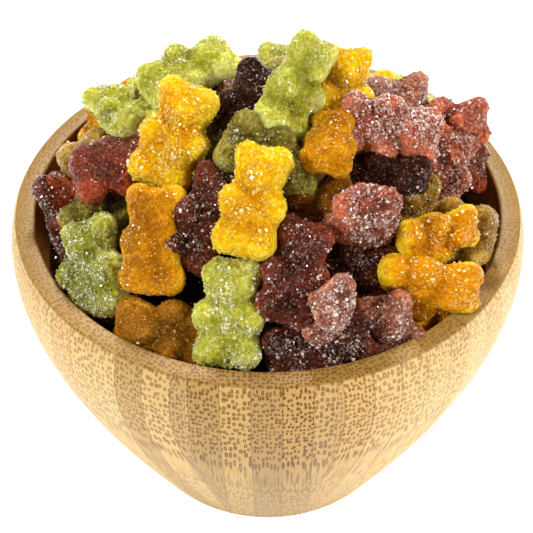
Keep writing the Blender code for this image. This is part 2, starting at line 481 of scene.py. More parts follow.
@dataclass(frozen=True)
class Bamboo:
    """Oiled laminated bamboo: strips of fibre bundles that show as dots across and streaks along.

    Attributes:
        strip: Width of a strip in metres.
        wide: Spacing of loosely packed fibre bundles in metres.
        close: Spacing of closely packed ones.
        dark: Colour of a fibre bundle, as on a screen.
        rim: Colour of the cut face of the rim, darker than the walls: partly the wood's own tone, partly
            painted shade for the weaker light from above.
        inside: Tint of the inner wall, darker and redder: partly the wood's deeper tone, partly painted
            shade.
        glue: Colour of the glue between staves.
        oil: Linear tint that the oil gives the wood.
        cloud: Colour of the broad cloudy patches.
        foot: Colour that the wall turns to towards the foot, a painted shade that darkens the lower wall.
        grain: Colour of the finest grain lines.
        pith: Least and greatest radius of a bundle's cut end, against the spacing.
    """

    strip: float = 0.0066
    wide: float = 0.00108
    close: float = 0.00088
    dark: Colour = (98, 52, 0)
    rim: Colour = (148, 112, 48)
    inside: Colour = (255, 196, 112)
    glue: Colour = (70, 18, 8)
    oil: Colour = (0.76, 0.81, 0.90)
    cloud: Colour = (206, 160, 100)
    foot: Colour = (178, 142, 72)
    grain: Colour = (168, 124, 70)
    pith: tuple[float, float] = (0.24, 0.34)

    def bundle_spots(self, finish: Finish, fibre: Any, size: float, filled: Any) -> Any:
        """Cut ends of fibre bundles, each a ring that may be filled.

        Args:
            finish: The material that the nodes go into.
            fibre: Place across the fibres in metres.
            size: Spacing of the bundles in metres.
            filled: How far the middles of the rings are filled, from 0 to 1.

        Returns:
            1 on a bundle and 0 between bundles.
        """
        cells = finish.cells(fibre, size, "2D", 0.62)
        chance = finish.node("ShaderNodeSeparateColor", {0: cells.outputs["Color"]}).outputs
        distance = cells.outputs["Distance"]
        reach = finish.step(chance[0], 0.0, 1.0, self.pith)
        outer = finish.math("ADD", reach, 0.07)
        spot = finish.step(distance, reach, outer, (1.0, 0.0))
        offset = finish.vector("SUBTRACT", fibre, cells.outputs["Position"])
        sideways = finish.node("ShaderNodeSeparateXYZ", {0: offset}).outputs[0]
        share = finish.math("DIVIDE", finish.math("ABSOLUTE", sideways), size)
        slant = finish.math("DIVIDE", share, finish.math("ADD", distance, 0.02))
        arc = finish.step(slant, 0.1, 0.7, (0.75, 1.0))
        hole = finish.times(finish.step(distance, 0.06, 0.18, (0.35, 1.0)), arc)
        spot = finish.times(spot, finish.math("MAXIMUM", hole, filled))
        return finish.times(spot, finish.step(chance[1], 0.0, 1.0, (0.85, 1.0)))

    def material(self, rim_height: float) -> bpy.types.Material:
        """The finish of the bowl.

        Args:
            rim_height: Height of the flat rim in metres.

        Returns:
            The material. It reads the UV map fibre, whose u runs across the strips and whose v
            runs across the fibres, both in metres, and the attributes stave, bundles, seam and inside.
        """
        finish = Finish("oiled_bamboo")
        fibre = finish.node("ShaderNodeUVMap", {}, uv_map="fibre").outputs[0]
        split = finish.node("ShaderNodeSeparateXYZ", {0: fibre}).outputs
        place = finish.place()
        height = finish.node("ShaderNodeSeparateXYZ", {0: place}).outputs[2]
        strips = finish.math("DIVIDE", split[0], self.strip)
        number = finish.math("MODULO", finish.math("FLOOR", strips), float(len(STRIPS)))
        number = finish.math("DIVIDE", finish.math("ADD", number, 0.5), float(len(STRIPS)))
        strip_tone = finish.table(number, [screen(strip.tone) for strip in STRIPS])
        looks = finish.table(number, [(strip.bundles, strip.packed, strip.filled) for strip in STRIPS])
        looks = finish.node("ShaderNodeSeparateColor", {0: looks}).outputs
        edge = finish.math("ABSOLUTE", finish.math("SUBTRACT", finish.math("FRACT", strips), 0.5))
        joint = finish.step(edge, 0.475, 0.495)
        rim = finish.step(height, rim_height - 0.0006, rim_height - 0.0001)
        inside = finish.attribute("inside")
        wood = finish.mix(1.0, finish.attribute("stave", "Color"), strip_tone, "MULTIPLY")
        wood = finish.mix(1.0, wood, self.oil, "MULTIPLY")
        cloud = finish.step(finish.noise(place, 0.012), 0.4, 0.7, (0.0, 0.2))
        wood = finish.mix(cloud, wood, screen(self.cloud))
        # Painted shade: the lower wall is darkened towards the foot.
        wood = finish.mix(finish.step(height, 0.0, 0.034, (0.45, 0.0)), wood, screen(self.foot))
        # The rim's top is darker: partly its own tone, partly painted shade.
        wood = finish.mix(finish.times(rim, 0.90), wood, screen(self.rim))
        grain = finish.step(finish.noise(fibre, 0.0005, 3.0), 0.42, 0.66, (0.0, 0.3))
        wood = finish.mix(grain, wood, screen(self.grain))
        wood = finish.mix(finish.times(joint, 0.45), wood, screen(self.dark))
        dots = [self.bundle_spots(finish, fibre, size, looks[2]) for size in (self.wide, self.close)]
        either = {0: looks[1], 2: dots[0], 3: dots[1]}
        dot = finish.node("ShaderNodeMix", either, data_type="FLOAT").outputs[0]
        low = finish.step(height, 0.040, 0.055, (0.42, 1.0))
        weight = finish.times(finish.times(finish.attribute("bundles"), dot), low)
        weight = finish.times(weight, looks[0])
        wood = finish.mix(weight, wood, screen(self.dark))
        # Partly painted shade: the inner wall is multiplied by a darker, redder tint.
        wood = finish.mix(inside, wood, screen(self.inside), "MULTIPLY")
        seam = finish.step(finish.attribute("seam"), 0.00006, 0.00022, (1.0, 0.0))
        patchy = finish.step(finish.noise(place, 0.012, 0.0), 0.5, 0.62, (0.1, 0.8))
        near_rim = finish.step(height, rim_height - 0.006, rim_height - 0.001, (0.25, 1.0))
        patchy = finish.times(patchy, near_rim)
        wood = finish.mix(finish.times(seam, patchy), wood, screen(self.glue))
        finish.set("Base Color", wood)
        finish.set("Specular IOR Level", 0.25)
        finish.set("Roughness", finish.step(grain, 0.0, 0.3, (0.42, 0.6)))
        finish.set("Normal", finish.bump(finish.times(dot, -1.0), 0.00012, 0.35))
        return finish.material


@dataclass(frozen=True)
class BambooBowl:
    """The turned bowl. Its sizes are those of the solid that it stands for, in millimetres.

    Attributes:
        rim_radius: Radius at the rim's outer edge.
        rim_width: Width of the flat rim.
        height: Height of the rim.
        belly_pull: Radius that pulls the upper wall outwards.
        waist_pull: Radius that pulls the lower wall.
        foot_radius: Radius of the flat foot.
        floor: Thickness under the middle.
        rounding: Radius of the rim's two edges.
        streaks: Height at which the fibres lie along the wall.
        columns: Grid columns on each stave.
    """

    rim_radius: float = 60.0
    rim_width: float = 4.7
    height: float = 80.0
    belly_pull: float = 66.7
    waist_pull: float = 55.3
    foot_radius: float = 36.0
    floor: float = 9.0
    rounding: float = 0.6
    streaks: float = 44.0
    columns: int = 22

    def inner_wall(self, steps: int = 40) -> np.ndarray:
        """The inside: one Bezier curve from the middle of the floor up to the rim.

        Args:
            steps: Number of stretches that it is cut into.

        Returns:
            Radius and height of each point, one a row.
        """
        controls = (
            (0.0, self.floor),
            (0.62 * self.rim_radius, self.floor),
            (0.8 * self.rim_radius, 0.5 * self.height),
            (self.belly_pull - self.rim_width - 1.2, 0.8 * self.height),
            (self.rim_radius - self.rim_width, self.height),
        )
        return bezier(controls, steps)

    def outer_wall(self, steps: int = 44) -> np.ndarray:
        """The outside: one Bezier curve from the rim down to the foot.

        Args:
            steps: Number of stretches that it is cut into.

        Returns:
            Radius and height of each point, one a row.
        """
        controls = (
            (self.rim_radius, self.height),
            (self.belly_pull, 0.8 * self.height),
            (self.waist_pull, 0.46 * self.height),
            (self.foot_radius - 0.3, 0.0),
            (self.foot_radius, 0.0),
        )
        return bezier(controls, steps)

    def profile(self) -> tuple[np.ndarray, int]:
        """The turned outline without its two ends on the axis.

        Returns:
            Radius and height of each point, and the number of points on the inner wall.
        """
        top = self.height - self.rounding
        inner = self.inner_wall()
        outer = self.outer_wall()
        inner = inner[(inner[:, 1] < top) & (inner[:, 0] > 0)]
        outer = outer[outer[:, 1] < top]
        near = (self.rim_radius - self.rim_width + self.rounding, top)
        far = (self.rim_radius - self.rounding, top)
        edges = [rounded_corner(near, self.rounding, 180.0, 4), rounded_corner(far, self.rounding, 90.0, 4)]
        return np.concatenate([inner, *edges, outer]), len(inner)

    def build(self) -> bpy.types.Object:
        """The bowl as a grid of azimuth by place along the profile, closed by a point on the axis.

        Returns:
            The dressed bowl.
        """
        starts = np.array([stave.start for stave in STAVES])
        ends = np.append(starts[1:], starts[0] + 360)
        share = np.arange(self.columns) / self.columns
        azimuth = np.radians(starts[:, None] + (ends - starts)[:, None] * share).ravel()
        profile, inner_count = self.profile()
        rows, columns = len(profile), len(azimuth)
        wall = turned_grid(profile, azimuth).reshape(-1, 3)
        points = np.concatenate([wall, [[0, 0, self.floor], [0, 0, 0]]])
        number = np.arange(rows * columns).reshape(rows, columns)
        following = np.roll(number, -1, axis=1)
        quads = np.stack([number[:-1], following[:-1], following[1:], number[1:]], axis=-1).reshape(-1, 4)
        first = np.full(columns, rows * columns)
        start_fan = np.stack([first, following[0], number[0]], axis=1)
        end_fan = np.stack([first + 1, number[-1], following[-1]], axis=1)
        column_stave = np.repeat(np.arange(len(STAVES)), self.columns)
        face_stave = np.concatenate([np.tile(column_stave, rows - 1), column_stave, column_stave])
        wall_row = np.repeat(np.arange(rows - 1), columns)
        face_row = np.concatenate([wall_row, np.zeros(columns), np.full(columns, rows)])
        material = Bamboo().material(self.height * MM)
        bowl = make_piece(
            "turned_bamboo_bowl", points, [quads, start_fan, end_fan], material, "bamboo_bowl"
        )
        tones = np.array([(*screen(stave.tone), 1.0) for stave in STAVES])
        bundles = np.array([stave.bundles for stave in STAVES])
        paint(bowl, "stave", tones[face_stave], "FACE")
        paint(bowl, "bundles", bundles[face_stave], "FACE")
        paint(bowl, "inside", (face_row < inner_count).astype(float), "FACE")
        paint(bowl, "seam", self.seam_distance(points, np.radians(starts)))
        sides = np.concatenate([np.full(len(quads), 4), np.full(2 * columns, 3)])
        corners = np.concatenate([quads.ravel(), start_fan.ravel(), end_fan.ravel()])
        corner_stave = np.repeat(face_stave, sides)
        middles = np.radians((starts + ends) / 2)
        outside = np.repeat(face_row >= inner_count + 10, sides)
        uv = self.fibre_map(points[corners], middles[corner_stave], corner_stave, outside)
        layer = bowl.data.uv_layers.new(name="fibre")
        layer.data.foreach_set("uv", uv.astype(np.float32).ravel())
        LOG.info("bowl: %d staves, %d faces", len(STAVES), len(bowl.data.polygons))
        return bowl

    def seam_distance(self, points: np.ndarray, seams: np.ndarray) -> np.ndarray:
        """How far points lie from the nearest seam, a half plane from the axis.

        Args:
            points: Places in millimetres, one a row.
            seams: Azimuth of each seam in radians.

        Returns:
            The distance of each point in metres.
        """
        away = np.full(len(points), np.inf)
        for seam in seams:
            along = points[:, 0] * math.sin(seam) - points[:, 1] * math.cos(seam)
            across = np.abs(points[:, 0] * math.cos(seam) + points[:, 1] * math.sin(seam))
            away = np.minimum(away, np.where(along > 0, across, np.inf))
        return away * MM

    def fibre_map(
        self, points: np.ndarray, middle: np.ndarray, stave: np.ndarray, outside: np.ndarray
    ) -> np.ndarray:
        """Where each corner lies across the fibres of its stave.

        u is the distance from the stave's middle plane, plus an offset that keeps staves apart.
        v is the distance outwards on the rim and inside. Outside it is the height, drawn out
        where the fibres come to lie along the wall, so that their cut ends turn into streaks.

        Args:
            points: Corners in millimetres.
            middle: Azimuth of each corner's stave in radians.
            stave: Number of each corner's stave.
            outside: Whether each corner is on the outer wall.

        Returns:
            u and v of each corner in metres.
        """
        heights = np.linspace(0.0, self.height, 161)
        upper = np.clip((heights - self.streaks) / (self.height - self.streaks), 0, 1)
        lower = np.clip((self.streaks - heights) / self.streaks, 0, 1)
        rate = 0.04 + 0.62 * np.minimum(1.5 * upper, 1) ** 1.6 + 0.2 * np.minimum(2 * lower, 1)
        across = np.cumsum(rate) * (heights[1] - heights[0])
        outwards = points[:, 0] * np.sin(middle) - points[:, 1] * np.cos(middle)
        sideways = points[:, 0] * np.cos(middle) + points[:, 1] * np.sin(middle)
        shift = np.array([each.shift for each in STAVES])[stave]
        u = sideways + shift + 99.0 * (stave + 1)
        v = np.where(outside, np.interp(points[:, 2], heights, across), -outwards)
        return np.stack([u, v], axis=1) * MM


# ---------------------------------------------------------------- gummy bears


class Flavour(Enum):
    """Colour of a gummy bear's jelly."""

    LIME = "lime"
    LEMON = "lemon"
    AMBER = "amber"
    OLIVE = "olive"
    RUSSET = "russet"
    PLUM = "plum"
    SAND = "sand"
    BROWN = "brown"
    DARK = "dark"
    MAUVE = "mauve"


@dataclass(frozen=True)
class SugaredJelly:
    """Set jelly under a crust of sugar.

    Attributes:
        pale: Colour of the jelly where it is thin, as on a screen.
        deep: Colour of the jelly where it is thick.
        sugar: Colour of the sugar grains on it.
        rim: Colour of its thin edges, a painted glow that stands for light shining through them.
        crinkle_highlight: Colour of the fine crinkles, a painted highlight for the light they catch.
        glow: How far light runs in the jelly, in metres, for red, green and blue.
        grain: Width of a sugar grain in metres.
        grit: How much the darkest grains differ from the rest, and how dark the painted shade in the creases
            between grains is, from 0 to 1.
        tilt: Twice the slope of the steepest facets of its grains.
    """

    pale: Colour
    deep: Colour
    sugar: Colour
    rim: Colour
    crinkle_highlight: Colour
    glow: Colour
    grain: float
    grit: float
    tilt: float = 1.4

    def facets(self, finish: Finish, place: Any, size: float, tilt: float) -> tuple[Any, Any, Any]:
        """One layer of sugar grains, each a flat facet that leans its own way.

        Args:
            finish: The material that the nodes go into.
            place: Place in metres.
            size: Width of a grain in metres.
            tilt: Twice the slope of the steepest facets.

        Returns:
            The facets' height in metres, the distance from the middle of the cell, and the
            cell's three random numbers.
        """
        cells = finish.cells(place, size)
        offset = finish.vector("SUBTRACT", place, cells.outputs["Position"])
        lean = finish.vector("SUBTRACT", cells.outputs["Color"], (0.5, 0.5, 0.5))
        dot = finish.node("ShaderNodeVectorMath", {0: offset, 1: lean}, operation="DOT_PRODUCT")
        chance = finish.node("ShaderNodeSeparateColor", {0: cells.outputs["Color"]}).outputs
        return finish.times(dot.outputs["Value"], tilt), cells.outputs["Distance"], chance

    def material(self, name: str) -> bpy.types.Material:
        """The finish of one flavour.

        Args:
            name: The material's name.

        Returns:
            The material. It reads the attributes depth, from 0 pale to 1 deep, and frost, the
            share of the surface that sugar hides.
        """
        finish = Finish(name)
        place = finish.place()
        cloud = finish.step(finish.noise(place, 0.004), 0.3, 0.7, (-0.15, 0.15))
        depth = finish.math("ADD", finish.attribute("depth"), cloud)
        # Painted light: where depth is low the jelly takes the bright rim colour, as if light shone through
        # it, and it turns to the deep colour where thick.
        gel = finish.mix(finish.step(depth, 0.0, 0.35), screen(self.rim), screen(self.pale))
        gel = finish.mix(finish.step(depth, 0.25, 1.0), gel, screen(self.deep))
        frost = finish.attribute("frost")
        folds = finish.noise(place, 2.0 * self.grain, 2.0, 0.8)
        from_fold = finish.math("ABSOLUTE", finish.math("SUBTRACT", folds, 0.5))
        # Painted highlight: thin lines along the folds, fewer where the jelly is deep, take the vein colour.
        ridge_highlight = finish.step(from_fold, 0.0, 0.045, (0.8, 0.0))
        ridge_highlight = finish.times(ridge_highlight, finish.step(depth, 0.2, 0.8, (1.0, 0.15)))
        small, small_distance, chance = self.facets(finish, place, self.grain, self.tilt)
        large = self.facets(finish, place, 1.7 * self.grain, 0.6 * self.tilt)[0]
        dim = finish.step(chance[2], 0.0, 0.7, (self.grit, 0.0))
        gel = finish.mix(ridge_highlight, gel, screen(self.crinkle_highlight))
        gel = finish.mix(dim, gel, screen(self.deep))
        # Painted shade: the creases between the sugar grains are darkened towards the deep colour.
        crease_shade = finish.step(small_distance, 0.35, 0.8, (0.0, self.grit))
        gel = finish.mix(crease_shade, gel, screen(self.deep))
        bare = finish.math("SUBTRACT", 0.70, finish.times(frost, 0.34))
        covered = finish.math("ADD", bare, 0.12)
        clump = finish.step(finish.noise(place, 0.0022, 5.0), bare, covered, (0.12, 1.0))
        present = finish.step(finish.math("SUBTRACT", finish.math("ADD", frost, 0.1), chance[0]), -0.05, 0.1)
        round_top = finish.step(small_distance, 0.30, 0.60, (1.0, 0.0))
        white = finish.times(finish.times(present, round_top), clump)
        white = finish.times(white, finish.math("POWER", chance[1], 1.3))
        finish.set("Base Color", finish.mix(white, gel, screen(self.sugar)))
        finish.set("Subsurface Weight", 0.85)
        finish.set("Subsurface Radius", self.glow)
        finish.set("Subsurface Scale", 0.9)
        finish.set("Roughness", 0.08)
        finish.set("IOR", 1.45)
        finish.set("Specular Tint", screen(self.sugar))
        waves = finish.bump(folds, self.grain, 0.6)
        domes = finish.bump(small_distance, -0.3 * self.grain, 0.8, waves)
        lower = finish.bump(large, 1.0, 1.0, domes)
        finish.set("Normal", finish.bump(small, 1.0, 1.0, lower))
        return finish.material


JELLIES = {
    Flavour.LIME: SugaredJelly(
        (208, 202, 64), (128, 128, 10), (250, 252, 206), (236, 236, 140), (242, 244, 164),
        (0.0028, 0.0030, 0.0006), 0.0009, 0.30),
    Flavour.LEMON: SugaredJelly(
        (252, 204, 4), (212, 134, 0), (255, 240, 100), (255, 219, 54), (255, 241, 98),
        (0.0030, 0.0026, 0.0004), 0.0008, 0.35),
    Flavour.AMBER: SugaredJelly(
        (222, 150, 4), (144, 78, 2), (255, 222, 100), (252, 190, 34), (252, 194, 48),
        (0.0028, 0.0021, 0.0003), 0.00058, 0.40),
    Flavour.OLIVE: SugaredJelly(
        (164, 148, 50), (72, 62, 6), (240, 230, 176), (206, 194, 110), (196, 186, 104),
        (0.0026, 0.0024, 0.0005), 0.0009, 0.30),
    Flavour.RUSSET: SugaredJelly(
        (180, 88, 58), (72, 27, 20), (250, 220, 202), (240, 134, 86), (230, 146, 110),
        (0.0026, 0.0012, 0.0008), 0.0007, 0.40),
    Flavour.PLUM: SugaredJelly(
        (124, 48, 28), (36, 10, 6), (240, 204, 180), (196, 84, 46), (168, 82, 54),
        (0.0022, 0.0008, 0.0006), 0.00058, 0.40),
    Flavour.SAND: SugaredJelly(
        (204, 160, 58), (128, 88, 12), (255, 244, 190), (244, 208, 114), (240, 206, 120),
        (0.0028, 0.0023, 0.0005), 0.0006, 0.35),
    Flavour.BROWN: SugaredJelly(
        (190, 126, 26), (110, 64, 6), (252, 224, 140), (226, 160, 44), (222, 160, 54),
        (0.0026, 0.0018, 0.0004), 0.00056, 0.40),
    Flavour.DARK: SugaredJelly(
        (74, 26, 14), (12, 4, 2), (228, 192, 166), (130, 50, 26), (102, 50, 34),
        (0.0014, 0.0006, 0.0004), 0.0006, 0.35),
    Flavour.MAUVE: SugaredJelly(
        (180, 104, 76), (88, 41, 32), (252, 226, 208), (246, 162, 114), (240, 176, 140),
        (0.0026, 0.0013, 0.0009), 0.0007, 0.40),
}


@dataclass(frozen=True)
class Bear:
    """One gummy bear in the heap.

    Attributes:
        flavour: Its jelly.
        x, y, z: Its middle in millimetres; z is counted from the rim of the bowl.
        heading: Azimuth of its head in degrees, 0 towards +Y and 90 towards +X.
        rise: How far its head points up, in degrees.
        turn: Turn about its own length in degrees; 0 is belly up.
        size: Its size against the 24 mm bear.
        depth: How deep its colour is, from 0 to 1; partly its jelly's own colour, partly painted shade where
            the bear lies in shadow.
        frost: How much sugar hides it, from 0 to 1.
        coarse: How many large crystals it carries, from 0 to 1.
        girth: Its width against its length, 1 for the cast form.
    """

    flavour: Flavour
    x: float
    y: float
    z: float
    heading: float
    rise: float
    turn: float
    size: float
    depth: float = 0.5
    frost: float = 0.3
    coarse: float = 0.2
    girth: float = 0.95

    def axes(self) -> np.ndarray:
        """Its own axes, from its heading, rise and turn.

        Returns:
            Its own X, Y and Z as the columns of a matrix.
        """
        heading, rise, turn = (math.radians(a) for a in (self.heading, self.rise, self.turn))
        y = np.array([
            math.sin(heading) * math.cos(rise), math.cos(heading) * math.cos(rise), math.sin(rise)
        ])
        up = np.array([
            -math.sin(heading) * math.sin(rise), -math.cos(heading) * math.sin(rise), math.cos(rise)
        ])
        side = np.cross(y, up)
        z = math.cos(turn) * up + math.sin(turn) * side
        return np.stack([np.cross(y, z), y, z], axis=1)

    def tint(self) -> Colour:
        """Linear colour of its jelly at its own depth of colour, which is partly painted shade."""
        jelly = JELLIES[self.flavour]
        return tuple(p + (d - p) * self.depth for p, d in zip(screen(jelly.pale), screen(jelly.deep)))

    def middle(self, rim: float) -> np.ndarray:
        """Its middle in millimetres, for a rim at this height."""
        return np.array([self.x, self.y, self.z + rim])


LI, LE, AM, OL, RU, PL, SA, BR, DA, MA = Flavour
# The depth column is partly each jelly's own depth of colour and partly painted shade: bears that lie in
# shadow in the heap are given deeper colour.
BEARS = (
    # The slope at the front, from the left to the right
    Bear(LI, -38.9, -27.8, 3.4, -14, 42, -42, 0.95, 0.72, 0.60, 0.5, 1.1),
    Bear(BR, -22, -43, -2, -85, 10, -40, 1.00, 0.45, 0.15, 0.2),
    Bear(AM, -24.4, -30, 14, 5, 45, 175, 0.97, 0.50, 0.20, 0.2),
    Bear(LI, -8, -43.2, 4.9, 4, 50, -5, 1.00, 0.38, 0.50, 0.4),
    Bear(DA, -13, -27, 17, 35, 40, 30, 0.97, 0.10, 0.38, 0.6),
    Bear(LE, -2.8, -29, 24, 20, 50, 12, 1.00, 0.45, 0.34, 0.7, 0.87),
    Bear(PL, 6, -38, 12, 20, 45, 15, 0.95, 0.50, 0.33, 1.0),
    Bear(DA, 11, -47, -1, 75, 15, 40, 0.97, 0.30, 0.45, 0.6),
    Bear(MA, 13, -44, 5, 175, 70, 60, 0.92, 0.50, 0.52, 0.8),
    Bear(MA, 27, -43.5, -3.2, -50, 70, -45, 0.92, 0.42, 0.55, 0.5),
    Bear(RU, 20.3, -26.5, 17.0, 180, 65, 5, 1.05, 0.46, 0.52, 0.8),
    Bear(LE, 34.6, -36.0, 5.2, 98, 0, 85, 0.94, 1.00, 0.26, 0.6),
    Bear(LE, 37.2, -26.5, 11.5, 72, 5, 80, 0.78, 0.85, 0.30, 0.5),
    Bear(SA, 40, -18, 6, -75, 0, -50, 0.93, 0.62, 0.20, 0.2),
    # Between and under those
    Bear(DA, -33, -33, -4, 45, 30, 35, 0.95, 0.80, 0.10, 0.1),
    Bear(OL, -35.5, -17, 6, -65, 15, 10, 0.95, 0.45, 0.20, 0.2),
    Bear(DA, -41, -12, -6, 150, -45, 15, 0.93, 0.50, 0.40, 0.4),
    Bear(OL, -15, -13, 18, 15, 50, 15, 1.00, 0.85, 0.12, 0.1),
    Bear(BR, 10, -24, 15, 70, 25, 45, 0.95, 0.80, 0.20, 0.2),
    Bear(DA, 18, -32, 5, 95, 5, 45, 1.00, 0.40, 0.25, 0.3),
    Bear(DA, 19, -42, -2, 70, 25, 40, 0.95, 0.70, 0.15, 0.2),
    Bear(SA, 31, -20, 10, 15, 50, 5, 0.95, 0.70, 0.40, 0.2),
    Bear(AM, 34, -34, -2, 100, 0, 45, 0.93, 0.45, 0.20, 0.2),
    # The top and both sides
    Bear(PL, -46.5, -8, 0, -32, 50, 50, 0.97, 0.50, 0.40, 0.6),
    Bear(PL, -32.5, -8, 17, 74, 10, 180, 0.96, 0.25, 0.18, 0.1, 1.1),
    Bear(LE, -20, -11, 27, 30, 45, 25, 1.00, 0.45, 0.42, 0.8),
    Bear(SA, -38, 6, 8, 65, 15, 50, 0.92, 0.30, 0.35, 0.3),
    Bear(LI, -33.5, 7, 19.5, -32, -5, 22, 0.92, 0.45, 0.36, 0.3),
    Bear(LI, -18, 14, 26, 60, 15, 10, 1.00, 0.38, 0.36, 0.2),
    Bear(PL, -5, -3, 28, 40, 45, 30, 0.93, 0.85, 0.12, 0.1),
    Bear(OL, 1, -17, 25, 110, -20, 45, 1.00, 0.50, 0.28, 0.2),
    Bear(LI, 6.5, -4, 35, 42, 46, 80, 0.97, 0.42, 0.24, 0.2),
    Bear(AM, 13.4, -13, 26.8, 10, 0, 176, 0.78, 0.42, 0.22, 0.3),
    Bear(PL, 25, -15, 17, 95, 5, 50, 0.97, 0.90, 0.08, 0.2),
    Bear(RU, 26.8, -7, 25.5, 100, -5, 50, 0.97, 0.26, 0.80, 0.7),
    Bear(RU, 40.5, -5, 12, 28, 45, 20, 0.86, 0.30, 0.50, 0.5),
    Bear(RU, 41.5, 6, 17, 105, 18, 55, 0.85, 0.28, 0.32, 0.3),
    # The slope at the back
    Bear(OL, -27, 11, 13, 15, 50, 20, 0.93, 0.30, 0.20, 0.2),
    Bear(AM, -40, 20, 3, 25, 70, 30, 0.90, 0.35, 0.20, 0.2),
    Bear(AM, -33, 29, 5, 80, 5, 55, 0.92, 0.50, 0.20, 0.2),
    Bear(LI, -24, 24, 9, -65, 50, -45, 0.93, 0.30, 0.25, 0.2),
    Bear(OL, -4, 24, 14, 85, 5, 55, 0.92, 0.20, 0.30, 0.2),
    Bear(LE, 16.5, 0, 30, 8, 47, 10, 0.93, 0.30, 0.30, 0.3),
    Bear(LE, 22, 15, 15, 75, 25, 50, 0.90, 0.20, 0.30, 0.2),
    Bear(MA, 27, 11, 18, 90, 10, 55, 0.95, 0.15, 0.75, 0.4),
    Bear(PL, -17, 36, 5, 110, -10, 20, 0.95, 0.50, 0.30, 0.3),
    Bear(LI, 2, 37, 7, 200, -15, 15, 0.97, 0.40, 0.45, 0.4),
    Bear(LE, 18, 32, 7, 60, 5, -25, 0.95, 0.40, 0.30, 0.3),
    Bear(MA, 33, 26, 4, 320, 10, 30, 0.95, 0.40, 0.60, 0.6),
    Bear(LI, 38, 20, 1, 170, -30, 20, 0.93, 0.40, 0.30, 0.2),
    Bear(MA, -26, 41, -4, 40, 20, -20, 0.95, 0.50, 0.60, 0.5),
    Bear(AM, -6, 47, -3, 265, 10, 30, 0.93, 0.45, 0.25, 0.2),
    Bear(DA, 14, 45, -3, 100, -15, -30, 0.95, 0.40, 0.35, 0.4),
    Bear(LI, 32, 37, -4, 215, -35, 10, 0.95, 0.45, 0.50, 0.4),
    Bear(OL, 2, 9, 20, 160, -30, 10, 0.93, 0.30, 0.30, 0.2),
    Bear(MA, -10, 15, 19, 250, -10, 30, 0.93, 0.45, 0.55, 0.4),
    Bear(LI, 11, 24, 13, 100, 0, -30, 0.93, 0.35, 0.30, 0.2),
    Bear(LE, -17, 14, 18, 215, -30, -10, 0.93, 0.35, 0.30, 0.2),
    Bear(DA, 10, 4, 23, 60, 15, 40, 0.90, 0.60, 0.15, 0.2),
    Bear(DA, -27, 0, 14, 330, 30, 20, 0.93, 0.60, 0.20, 0.2),
    Bear(PL, 42, 8, 2.5, 92, 0, 62, 0.96, 0.25, 0.40, 0.5),
)


@dataclass(frozen=True)
class Lobe:
    """An ellipsoid of the bear's form.

    Attributes:
        centre: Its middle in millimetres.
        radii: Its radius along each axis in millimetres.
        mirrored: Whether it has a twin on the other side.
    """

    centre: tuple[float, float, float]
    radii: tuple[float, float, float]
    mirrored: bool = False


